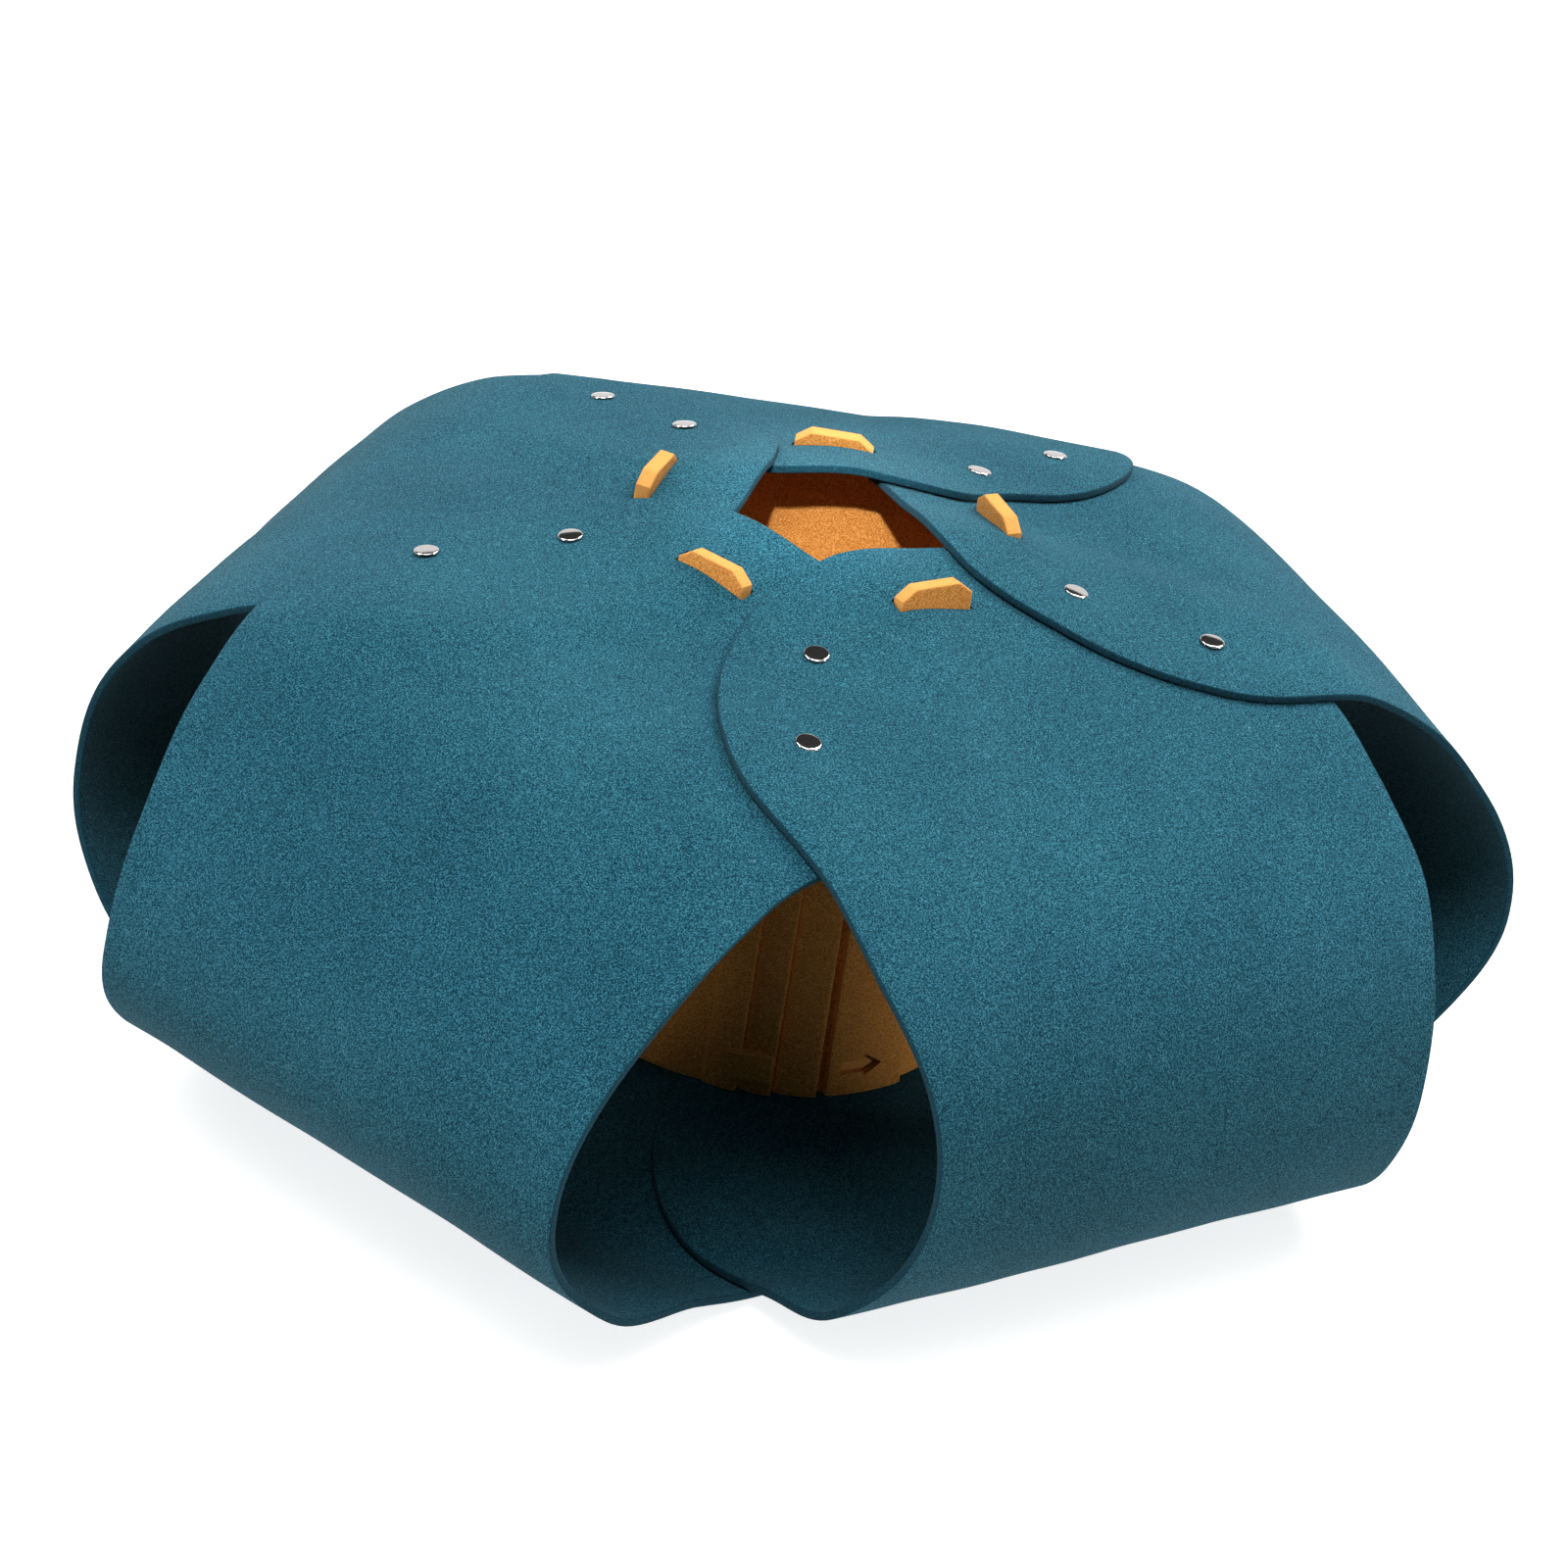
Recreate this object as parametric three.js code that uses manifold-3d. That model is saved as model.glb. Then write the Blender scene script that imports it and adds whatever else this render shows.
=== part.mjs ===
import * as THREE from 'three';
import { mergeVertices } from 'three/addons/utils/BufferGeometryUtils.js';
import Module from 'manifold-3d';

// Semi-enclosed tunnel bed: five bent felt panels lapped in a pinwheel round a felt tube.
// Millimetres, +Z up, floor at z = 0, the front opening toward -Y. It is built round the ring's
// axis and moved at the end, so that the origin is at the middle of the base.

const wasm = await Module();
wasm.setup();

const radians = THREE.MathUtils.degToRad;

// Felt and laps
const FELT = 4;
const LAP_GAP = 1.05;
const LAP_RISE = FELT + LAP_GAP;
const LAP_MARGIN = 7;
const LAP_RAMP = 26;

// Bent section of a panel: distance from the ring axis, and height of the outer face
const HOLE_REACH = 47;
const RIM_HEIGHT = 291.4;
const RIM_SLOPE = radians(21.4);
const RIM_PULL = 176.2;
const SHOULDER_PULL = 112;
const BULGE_REACH = 343.5;
const BULGE_HEIGHT = 106.3;
const FOOT_PULL = 59;
const FLOOR_PULL = 28;
const FLOOR_REACH = 238;

// Where neighbouring panels meet they share one rounded ridge, up to this reach
const RIDGE_ROUNDING = 40;
const SHARED_REACH = 252;
const SHARED_BLEND = 55;

// Laps end at this reach, and each panel's own bulge begins there
const LAP_REACH = 238;

// Fuller shoulders rise out of the section between these reaches
const SHOULDER_FROM = 110;
const SHOULDER_RISE = 140;
const SHOULDER_TO = 340;
const SHOULDER_FALL = 80;

// Flat outline of a panel: half width at shares of its length, the same from both ends
const HOLE_END_HALF = 37;
const OUTLINE_SHIFT = 9.8;
const OUTLINE = [
  { share: 0.012, half: 74 },
  { share: 0.03, half: 96 },
  { share: 0.055, half: 116 },
  { share: 0.09, half: 138 },
  { share: 0.14, half: 158 },
  { share: 0.2, half: 168 },
  { share: 0.28, half: 160 },
  { share: 0.36, half: 154 },
  { share: 0.43, half: 143 },
  { share: 0.5, half: 138 },
];
const WAIST_SPREAD = 0.15;
const LOBE_AT = 0.055;
const LOBE_SPREAD = 0.035;

// Panels in lap order, each one over the next. Turn in degrees from even spacing, the rest in mm:
// the whole panel moved outward and aside, extra reach of the bulge, how far the leading and
// trailing edge sit off at the waist, how far the leading lobe is cut back next to the hole, rise of
// the hole end, and fullness of the shoulder.
const FIRST_AZIMUTH = -54;
const PANELS = [
  {
    name: 'panel_front_right', turn: -2, slide: 1.2, aside: 0.4, reach: -14, lead: 4, trail: 10,
    lobe: 0, rim: 3.7, full: 7,
  },
  {
    name: 'panel_front_left', turn: -1.2, slide: 0, aside: 2.6, reach: 22, lead: 14, trail: 20,
    lobe: 0, rim: 0, full: 29,
  },
  {
    name: 'panel_left', turn: 1.8, slide: -5.7, aside: -2.7, reach: -15, lead: 14, trail: 12,
    lobe: 0, rim: -0.7, full: 8,
  },
  {
    name: 'panel_back', turn: -2.7, slide: -1.8, aside: 4.3, reach: -2, lead: -8, trail: -15,
    lobe: 16, rim: 0.7, full: 3,
  },
  {
    name: 'panel_right', turn: 4.1, slide: -5.5, aside: 2.5, reach: 13, lead: -17, trail: -18,
    lobe: 3, rim: -2, full: 28,
  },
];

// Panel mesh: a fine even grid, thinned out again where the felt is flat
const PANEL_ROWS = 52;
const PANEL_COLUMNS = 24;
const ROW_EASE = 0.72;
const EDGE_SAMPLES = 60;
const MESH_TOLERANCE = 0.25;

// Tube wall in the middle, of thicker felt
const WALL = 7.8;
const WALL_FOOT = 9.4;
const WALL_TOP = 259;
const WALL_FOOT_RADIUS = 111;
const WALL_TOP_RADIUS = 96.7;
const WALL_SEGMENTS = 40;
const WALL_ROWS = 3;
const WALL_FLAT_ANGLE = 17;

// Tabs on the wall, one through each panel: reach where a tab passes the lower layer's face, how
// far its tip and its middle sit off that spot, and its short sloped corners
const TAB_REACH = 92;
const TAB_HALF = 20.3;
const TAB_CORNER_RUN = 7.2;
const TAB_CORNER_DROP = 5.4;
const TAB_THICKNESS = 7.8;
const TAB_LEAN = radians(-3.5);
const TAB_ROOT_DEPTH = 24;
const TABS = [
  { tip: 13.4, aside: 0.5 },
  { tip: 11.6, aside: 0.5 },
  { tip: 12.2, aside: 2 },
  { tip: 11.6, aside: 0 },
  { tip: 12.5, aside: -3.5 },
];
const SLOT_CLEARANCE = 0.55;

// Upright pleats of the wall's overlapped end, seen through the front opening: where each begins
// and ends in degrees, and how proud of the wall it stands at either edge
const PLEATS = [
  { from: -101.7, to: -92.5, proud: [1.6, 4.4] },
  { from: -91.7, to: -83.7, proud: [1.6, 5] },
  { from: -82.9, to: -72.1, proud: [1.6, 5.2] },
  { from: -69.8, to: -47.4, proud: [4.2, 4.2] },
];
const PLEAT_TOP = 248;
const PLEAT_BITE = 1.5;
const PLEAT_STEP = 6;
const TONGUE = { from: -97, to: -84.5, foot: 18.5, height: 15.5, proud: 7.6 };
const NOTCH = { azimuth: -60.5, foot: 19, length: 23, height: 13, shaft: 7, head: 10, clear: 0.6 };

// Snap fasteners, two on each lap: run from the hole end and distance off the panel's middle
const SNAPS = [
  { name: 'inner', along: 65.3, across: -75.6 },
  { name: 'outer', along: 126.7, across: -115.7 },
];
const CAP_RADIUS = 6.25;
const CAP_HEIGHT = 1.9;
const CAP_EDGE = 0.7;
const CAP_CROWN_RADIUS = 3.8;
const CAP_CROWN_HEIGHT = 1.6;
const POST_RADIUS = 2;
const POST_HOLE_RADIUS = 2.5;
const BACK_RADIUS = 5.6;
const BACK_HEIGHT = 1.1;
const SNAP_AIR = 0.5;
const BACK_AIR = 0.7;
const SNAP_SEGMENTS = 12;

const clamp01 = (x) => Math.min(1, Math.max(0, x));
const smooth = (x) => clamp01(x) ** 2 * (3 - 2 * clamp01(x));

// Section curve, sampled evenly along its length
const upperCurve = new THREE.CubicBezierCurve(
  new THREE.Vector2(HOLE_REACH, RIM_HEIGHT),
  new THREE.Vector2(HOLE_REACH + RIM_PULL * Math.cos(RIM_SLOPE), RIM_HEIGHT - RIM_PULL * Math.sin(RIM_SLOPE)),
  new THREE.Vector2(BULGE_REACH, BULGE_HEIGHT + SHOULDER_PULL),
  new THREE.Vector2(BULGE_REACH, BULGE_HEIGHT),
);
const lowerCurve = new THREE.CubicBezierCurve(
  new THREE.Vector2(BULGE_REACH, BULGE_HEIGHT),
  new THREE.Vector2(BULGE_REACH, BULGE_HEIGHT - FOOT_PULL),
  new THREE.Vector2(FLOOR_REACH + FLOOR_PULL, 0),
  new THREE.Vector2(FLOOR_REACH, 0),
);
const floorLine = new THREE.LineCurve(new THREE.Vector2(FLOOR_REACH, 0), new THREE.Vector2(HOLE_REACH, 0));
const section = new THREE.CurvePath();
section.add(upperCurve);
section.add(lowerCurve);
section.add(floorLine);
const SECTION_SAMPLES = 1200;
const sectionPoints = section.getSpacedPoints(SECTION_SAMPLES);
const PANEL_LENGTH = section.getLength();
const UPPER_LENGTH = upperCurve.getLength();
const upperEnd = Math.round((UPPER_LENGTH / PANEL_LENGTH) * SECTION_SAMPLES);

function sectionAt(along) {
  const place = clamp01(along / PANEL_LENGTH) * SECTION_SAMPLES;
  const index = Math.min(Math.floor(place), SECTION_SAMPLES - 1);
  return sectionPoints[index].clone().lerp(sectionPoints[index + 1], place - index);
}

// Index place on the upper or lower branch at a given reach, by halving
function placeAtReach(reach, upper) {
  let near = upper ? 0 : SECTION_SAMPLES;
  let far = upper ? upperEnd - 1 : upperEnd + 1;
  while (Math.abs(far - near) > 1) {
    const middle = Math.round((near + far) / 2);
    if (sectionPoints[middle].x < reach) near = middle;
    else far = middle;
  }
  const run = sectionPoints[far].x - sectionPoints[near].x;
  return near + (far - near) * clamp01((reach - sectionPoints[near].x) / run);
}

const alongAtReach = (reach, upper) => (placeAtReach(reach, upper) / SECTION_SAMPLES) * PANEL_LENGTH;
const heightAtReach = (reach, upper) => sectionAt(alongAtReach(reach, upper)).y;

// Outline as a smooth curve through the table, mirrored about the waist
const outlinePoints = [new THREE.Vector2(0, HOLE_END_HALF)];
for (const { share, half } of OUTLINE) outlinePoints.push(new THREE.Vector2(share * PANEL_LENGTH, half));
for (const { share, half } of OUTLINE.slice(0, -1).reverse()) {
  outlinePoints.push(new THREE.Vector2((1 - share) * PANEL_LENGTH, half));
}
outlinePoints.push(new THREE.Vector2(PANEL_LENGTH, HOLE_END_HALF));
const outlineSamples = new THREE.SplineCurve(outlinePoints).getPoints(2000);

function halfWidth(along) {
  let near = 0;
  let far = outlineSamples.length - 1;
  while (far - near > 1) {
    const middle = (near + far) >> 1;
    if (outlineSamples[middle].x < along) near = middle;
    else far = middle;
  }
  const share = clamp01((along - outlineSamples[near].x) / (outlineSamples[far].x - outlineSamples[near].x));
  return THREE.MathUtils.lerp(outlineSamples[near].y, outlineSamples[far].y, share);
}

// Leading edge at side -1, trailing edge at side +1
function edgeAcross(panel, along, side) {
  const waist = Math.exp(-(((along / PANEL_LENGTH - 0.5) / WAIST_SPREAD) ** 2));
  const offset = side < 0 ? panel.lead : panel.trail;
  const lobe = Math.exp(-(((along / PANEL_LENGTH - LOBE_AT) / LOBE_SPREAD) ** 2));
  const cutBack = side < 0 ? panel.lobe * lobe : 0;
  return side * halfWidth(along) + OUTLINE_SHIFT + offset * waist + cutBack;
}

PANELS.forEach((panel, index) => {
  const azimuth = radians(FIRST_AZIMUTH - (360 / PANELS.length) * index + panel.turn);
  panel.out = new THREE.Vector3(Math.cos(azimuth), Math.sin(azimuth), 0);
  panel.side = new THREE.Vector3(-Math.sin(azimuth), Math.cos(azimuth), 0);
  panel.under = PANELS[(index + 1) % PANELS.length];
  panel.tab = TABS[index];
});

// The shared ridged surface: a soft maximum of the reach along all panels, and the rise of the
// hole ends and the fullness of the shoulders weighed by how near each panel is
function sharedSurface(x, y) {
  const reaches = PANELS.map((panel) => panel.out.x * x + panel.out.y * y);
  const most = Math.max(...reaches);
  const weights = reaches.map((reach) => Math.exp((reach - most) / RIDGE_ROUNDING));
  const sum = weights.reduce((total, weight) => total + weight, 0);
  const weigh = (key) => PANELS.reduce((total, panel, index) => total + panel[key] * weights[index], 0) / sum;
  return { reach: most + RIDGE_ROUNDING * Math.log(sum), rim: weigh('rim'), full: weigh('full') };
}

// Outer face of the lower layer of a panel
function baseSurface(panel, along, across) {
  const upper = along < UPPER_LENGTH;
  const point = sectionAt(along);
  const spot = panel.out.clone().multiplyScalar(point.x + panel.slide);
  spot.addScaledVector(panel.side, across + panel.aside);
  const shared = sharedSurface(spot.x, spot.y);
  const lapped = 1 - smooth((point.x - SHARED_REACH) / SHARED_BLEND);
  const raised = (heightAtReach(shared.reach, upper) - heightAtReach(point.x, upper)) * lapped;
  const shoulder = smooth((shared.reach - SHOULDER_FROM) / SHOULDER_RISE)
    * smooth((SHOULDER_TO - shared.reach) / SHOULDER_FALL);
  const free = Math.max(0, (point.x - LAP_REACH) / (BULGE_REACH - LAP_REACH)) ** 2;
  spot.addScaledVector(panel.out, panel.reach * free);
  spot.z = point.y + raised;
  spot.z += shared.rim * clamp01(spot.z / RIM_HEIGHT) + (upper ? shared.full * shoulder : 0);
  return spot;
}

function surfaceNormal(panel, along, across) {
  const step = 1.5;
  const low = Math.max(0, along - step);
  const high = Math.min(PANEL_LENGTH, along + step);
  const run = baseSurface(panel, high, across).sub(baseSurface(panel, low, across));
  const reach = baseSurface(panel, along, across + step).sub(baseSurface(panel, along, across - step));
  return run.cross(reach).normalize();
}

// Trailing outline of the lobe at one end of a panel, in run and across, from hole to waist
function trailingOutline(panel, upper) {
  const outline = [];
  for (let sample = 0; sample <= EDGE_SAMPLES; sample += 1) {
    const share = (sample / EDGE_SAMPLES) ** 2 / 2;
    const along = (upper ? share : 1 - share) * PANEL_LENGTH;
    outline.push(new THREE.Vector2(along, edgeAcross(panel, along, 1)));
  }
  const holeEnd = upper ? 0 : PANEL_LENGTH;
  outline.unshift(new THREE.Vector2(holeEnd, 0));
  return outline;
}

for (const panel of PANELS) {
  panel.trailing = { upper: trailingOutline(panel, true), lower: trailingOutline(panel, false) };
}

// Distance of a spot inside a panel's trailing outline, negative outside it
function insideTrailing(panel, along, across, upper) {
  const outline = upper ? panel.trailing.upper : panel.trailing.lower;
  const spot = new THREE.Vector2(along, across);
  let nearest = Infinity;
  for (let index = 1; index < outline.length; index += 1) {
    const start = outline[index - 1];
    const run = outline[index].clone().sub(start);
    const share = clamp01(spot.clone().sub(start).dot(run) / run.lengthSq());
    nearest = Math.min(nearest, start.clone().addScaledVector(run, share).distanceTo(spot));
  }
  const beyondEnd = upper ? along < 0 : along > PANEL_LENGTH;
  return beyondEnd || across > edgeAcross(panel, along, 1) ? -nearest : nearest;
}

// How far the leading lobe stands off the base surface to pass over its neighbour
function lapOffset(panel, along, across) {
  const upper = along < UPPER_LENGTH;
  const spot = baseSurface(panel, along, across);
  const reach = panel.under.out.dot(spot) - panel.under.slide;
  const beside = panel.under.side.dot(spot) - panel.under.aside;
  if (reach > LAP_REACH + LAP_RAMP || beside < 0) return 0;
  const past = Math.max(0, HOLE_REACH - reach);
  const run = alongAtReach(Math.max(reach, HOLE_REACH), upper) - (upper ? past : -past);
  const inside = insideTrailing(panel.under, run, beside, upper);
  return (upper ? 1 : -1) * LAP_RISE * smooth((inside + LAP_MARGIN + LAP_RAMP) / LAP_RAMP);
}

function geometryFrom(vertices, faces) {
  const geometry = new THREE.BufferGeometry();
  const numbers = vertices.flatMap((vertex) => vertex.toArray());
  geometry.setAttribute('position', new THREE.Float32BufferAttribute(numbers, 3));
  geometry.setIndex(faces.flat());
  return geometry;
}

function toManifold(geometry) {
  const bare = geometry.index ? geometry.clone() : geometry;
  for (const extra of ['normal', 'uv']) bare.deleteAttribute(extra);
  const merged = mergeVertices(bare, 1e-4);
  return new wasm.Manifold(new wasm.Mesh({
    numProp: 3,
    vertProperties: new Float32Array(merged.attributes.position.array),
    triVerts: new Uint32Array(merged.index.array),
  }));
}

function toGeometry(solid) {
  const mesh = solid.getMesh();
  const geometry = new THREE.BufferGeometry();
  geometry.setAttribute('position', new THREE.BufferAttribute(new Float32Array(mesh.vertProperties), 3));
  geometry.setIndex(new THREE.BufferAttribute(new Uint32Array(mesh.triVerts), 1));
  geometry.computeVertexNormals();
  return geometry;
}

// Closed sheet from a grid of outer and inner points; the rows may close on themselves
function sheet(outer, inner, closed) {
  const rows = outer.length;
  const columns = outer[0].length;
  const vertices = [...outer.flat(), ...inner.flat()];
  const at = (row, column, layer) => layer * rows * columns + row * columns + (column % columns);
  const faces = [];
  const quad = (a, b, c, d) => faces.push([a, b, c], [a, c, d]);
  const lastColumn = closed ? columns : columns - 1;
  const end = rows - 1;
  const side = columns - 1;
  for (let row = 0; row < rows - 1; row += 1) {
    for (let column = 0; column < lastColumn; column += 1) {
      quad(at(row, column, 0), at(row + 1, column, 0), at(row + 1, column + 1, 0), at(row, column + 1, 0));
      quad(at(row, column, 1), at(row, column + 1, 1), at(row + 1, column + 1, 1), at(row + 1, column, 1));
    }
  }
  for (let column = 0; column < lastColumn; column += 1) {
    const next = column + 1;
    quad(at(0, column, 0), at(0, next, 0), at(0, next, 1), at(0, column, 1));
    quad(at(end, column, 0), at(end, column, 1), at(end, next, 1), at(end, next, 0));
  }
  if (!closed) {
    for (let row = 0; row < rows - 1; row += 1) {
      const next = row + 1;
      quad(at(row, 0, 0), at(row, 0, 1), at(next, 0, 1), at(next, 0, 0));
      quad(at(row, side, 0), at(next, side, 0), at(next, side, 1), at(row, side, 1));
    }
  }
  return geometryFrom(vertices, faces);
}

// Rows crowd toward both ends, where the outline turns
function rowStations() {
  const half = PANEL_ROWS / 2;
  const stations = [];
  for (let row = 0; row <= half; row += 1) {
    const share = row / half;
    stations.push((PANEL_LENGTH / 2) * share * (1 - ROW_EASE + ROW_EASE * share));
  }
  for (let row = half - 1; row >= 0; row -= 1) stations.push(PANEL_LENGTH - stations[row]);
  return stations;
}

function panelSheet(panel) {
  const outer = [];
  const inner = [];
  for (const along of rowStations()) {
    const lead = edgeAcross(panel, along, -1);
    const trail = edgeAcross(panel, along, 1);
    const outerRow = [];
    const innerRow = [];
    for (let column = 0; column <= PANEL_COLUMNS; column += 1) {
      const across = THREE.MathUtils.lerp(lead, trail, column / PANEL_COLUMNS);
      const normal = surfaceNormal(panel, along, across);
      const face = baseSurface(panel, along, across).addScaledVector(normal, lapOffset(panel, along, across));
      outerRow.push(face);
      innerRow.push(face.clone().addScaledVector(normal, -FELT));
    }
    outer.push(outerRow);
    inner.push(innerRow);
  }
  return toManifold(sheet(outer, inner, false)).simplify(MESH_TOLERANCE);
}

// Frame whose z axis is the felt's normal at a spot of a panel, origin on the lower layer's face
function spotFrame(panel, along, across) {
  const normal = surfaceNormal(panel, along, across);
  const turn = new THREE.Quaternion().setFromUnitVectors(new THREE.Vector3(0, 0, 1), normal);
  return new THREE.Matrix4().compose(baseSurface(panel, along, across), turn, new THREE.Vector3(1, 1, 1));
}

function postHole(frame) {
  const reach = 4 * FELT;
  const hole = new THREE.CylinderGeometry(POST_HOLE_RADIUS, POST_HOLE_RADIUS, 2 * reach, SNAP_SEGMENTS);
  return toManifold(hole.rotateX(Math.PI / 2).applyMatrix4(frame));
}

// Cap, post and back disc of one snap, turned as a single solid
function snapFastener(frame) {
  const capFoot = LAP_RISE + SNAP_AIR;
  const backFace = -FELT - BACK_AIR;
  const profile = [
    new THREE.Vector2(0, backFace - BACK_HEIGHT),
    new THREE.Vector2(BACK_RADIUS, backFace - BACK_HEIGHT),
    new THREE.Vector2(BACK_RADIUS, backFace),
    new THREE.Vector2(POST_RADIUS, backFace),
    new THREE.Vector2(POST_RADIUS, capFoot),
    new THREE.Vector2(CAP_RADIUS, capFoot),
    new THREE.Vector2(CAP_RADIUS, capFoot + CAP_EDGE),
    new THREE.Vector2(CAP_CROWN_RADIUS, capFoot + CAP_CROWN_HEIGHT),
    new THREE.Vector2(0, capFoot + CAP_HEIGHT),
  ];
  const turned = new THREE.LatheGeometry(profile, SNAP_SEGMENTS).rotateX(Math.PI / 2);
  return toManifold(dropSlivers(turned).applyMatrix4(frame));
}

// A turned profile that touches its axis leaves triangles with no area; they are left out
function dropSlivers(geometry) {
  for (const extra of ['normal', 'uv']) geometry.deleteAttribute(extra);
  const merged = mergeVertices(geometry, 1e-4);
  const index = merged.index.array;
  const kept = [];
  for (let i = 0; i < index.length; i += 3) {
    const [a, b, c] = [index[i], index[i + 1], index[i + 2]];
    if (a !== b && b !== c && c !== a) kept.push(a, b, c);
  }
  merged.setIndex(kept);
  return merged;
}

// Outer radius of the tube wall: round at the foot, eased flat behind each tab at the top
function wallRadius(azimuth, height) {
  const rise = (height - WALL_FOOT) / (WALL_TOP - WALL_FOOT);
  const round = THREE.MathUtils.lerp(WALL_FOOT_RADIUS, WALL_TOP_RADIUS, rise);
  const direction = new THREE.Vector3(Math.cos(azimuth), Math.sin(azimuth), 0);
  const nearest = Math.min(...PANELS.map((panel) => direction.angleTo(panel.out)));
  const flat = 1 / Math.cos(Math.min(nearest, radians(WALL_FLAT_ANGLE)));
  return round * THREE.MathUtils.lerp(1, flat, smooth(rise));
}

function wallPoint(azimuth, height, proud) {
  const radius = wallRadius(azimuth, height) + proud;
  return new THREE.Vector3(radius * Math.cos(azimuth), radius * Math.sin(azimuth), height);
}

// Patch of wall between two heights and two azimuths, or all the way round. How proud its outer
// face stands is given at both edges.
function wallPatch({ from, to, foot, top, inner, outer, segments, rows = WALL_ROWS }) {
  const closed = to - from >= 360;
  const columns = closed ? segments : segments + 1;
  const layers = [outer, [inner, inner]].map(([first, last]) => {
    const grid = [];
    for (let row = 0; row <= rows; row += 1) {
      const height = THREE.MathUtils.lerp(top, foot, row / rows);
      const line = [];
      for (let column = 0; column < columns; column += 1) {
        const share = column / segments;
        const azimuth = radians(THREE.MathUtils.lerp(from, to, share));
        line.push(wallPoint(azimuth, height, THREE.MathUtils.lerp(first, last, share)));
      }
      grid.push(line);
    }
    return grid;
  });
  return toManifold(sheet(layers[0], layers[1], closed));
}

// Tab with sloped corners; grown all round by a clearance and left square it cuts the slot
function tab(panel, grow) {
  const half = TAB_HALF + grow;
  const cornerRun = grow > 0 ? 0 : TAB_CORNER_RUN;
  const cornerDrop = grow > 0 ? 0 : TAB_CORNER_DROP;
  const tip = panel.tab.tip + grow;
  const root = -TAB_ROOT_DEPTH - grow;
  const outline = new THREE.Shape();
  outline.moveTo(-half, root);
  outline.lineTo(half, root);
  outline.lineTo(half, tip - cornerDrop);
  if (cornerRun > 0) outline.lineTo(half - cornerRun, tip);
  outline.lineTo(-half + cornerRun, tip);
  if (cornerRun > 0) outline.lineTo(-half, tip - cornerDrop);
  const thickness = TAB_THICKNESS + 2 * grow;
  const geometry = new THREE.ExtrudeGeometry(outline, { depth: thickness, bevelEnabled: false });
  geometry.translate(0, 0, -thickness / 2);
  const foot = baseSurface(panel, alongAtReach(TAB_REACH - panel.slide, true), panel.tab.aside);
  const lean = new THREE.Matrix4().makeRotationX(TAB_LEAN);
  const stand = new THREE.Matrix4().makeBasis(panel.side.clone(), new THREE.Vector3(0, 0, 1), panel.out.clone());
  stand.setPosition(foot);
  return toManifold(geometry.applyMatrix4(lean).applyMatrix4(stand));
}

// Arrow-shaped cut in the widest pleat, pointing away from the other pleats
function notch() {
  const { length, height, shaft, head } = NOTCH;
  const outline = new THREE.Shape();
  outline.moveTo(-length / 2, -shaft / 2);
  outline.lineTo(length / 2 - head, -shaft / 2);
  outline.lineTo(length / 2 - head, -height / 2);
  outline.lineTo(length / 2, 0);
  outline.lineTo(length / 2 - head, height / 2);
  outline.lineTo(length / 2 - head, shaft / 2);
  outline.lineTo(-length / 2, shaft / 2);
  const geometry = new THREE.ExtrudeGeometry(outline, { depth: 3 * FELT, bevelEnabled: false });
  const azimuth = radians(NOTCH.azimuth);
  const middle = NOTCH.foot + height / 2;
  const out = new THREE.Vector3(Math.cos(azimuth), Math.sin(azimuth), 0);
  const side = new THREE.Vector3(-Math.sin(azimuth), Math.cos(azimuth), 0);
  const place = new THREE.Matrix4().makeBasis(side, new THREE.Vector3(0, 0, 1), out);
  place.setPosition(out.multiplyScalar(wallRadius(azimuth, middle) + NOTCH.clear).setZ(middle));
  return toManifold(geometry.applyMatrix4(place));
}

function liner() {
  let solid = wallPatch({
    from: 0, to: 360, foot: WALL_FOOT, top: WALL_TOP, inner: -WALL, outer: [0, 0], segments: WALL_SEGMENTS,
  });
  for (const { from, to, proud } of PLEATS) {
    const segments = Math.max(2, Math.round((to - from) / PLEAT_STEP));
    solid = solid.add(wallPatch({
      from, to, foot: WALL_FOOT, top: PLEAT_TOP, inner: -PLEAT_BITE, outer: proud, segments,
    }));
  }
  solid = solid.subtract(notch());
  const { from, to, foot, height, proud } = TONGUE;
  solid = solid.add(wallPatch({
    from, to, foot, top: foot + height, inner: -PLEAT_BITE, outer: [proud, proud], segments: 3, rows: 1,
  }));
  for (const panel of PANELS) solid = solid.add(tab(panel, 0));
  return solid;
}

// Assembly
const group = new THREE.Group();
group.name = 'cat_tunnel_bed';

const tealFelt = { color: 0x2a6a80, roughness: 0.95, metalness: 0 };
const orangeFelt = { color: 0xd9963f, roughness: 0.95, metalness: 0 };
const snapMetal = { color: 0xc8c8ca, roughness: 0.22, metalness: 1 };

function addPart(name, solid, look) {
  const mesh = new THREE.Mesh(toGeometry(solid), new THREE.MeshStandardMaterial(look));
  mesh.name = name;
  mesh.material.name = name;
  group.add(mesh);
}

const spots = PANELS.flatMap((panel) => SNAPS.map((snap) => ({
  panel, snap, frame: spotFrame(panel, snap.along, snap.across),
})));

for (const panel of PANELS) {
  let solid = panelSheet(panel);
  for (const slotted of PANELS) solid = solid.subtract(tab(slotted, SLOT_CLEARANCE));
  for (const spot of spots) {
    if (spot.panel === panel || spot.panel.under === panel) solid = solid.subtract(postHole(spot.frame));
  }
  addPart(panel.name, solid, tealFelt);
}

addPart('liner_tube', liner(), orangeFelt);

for (const { panel, snap, frame } of spots) {
  const name = `snap_${panel.name.replace('panel_', '')}_${snap.name}`;
  addPart(name, snapFastener(frame), snapMetal);
}

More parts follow.
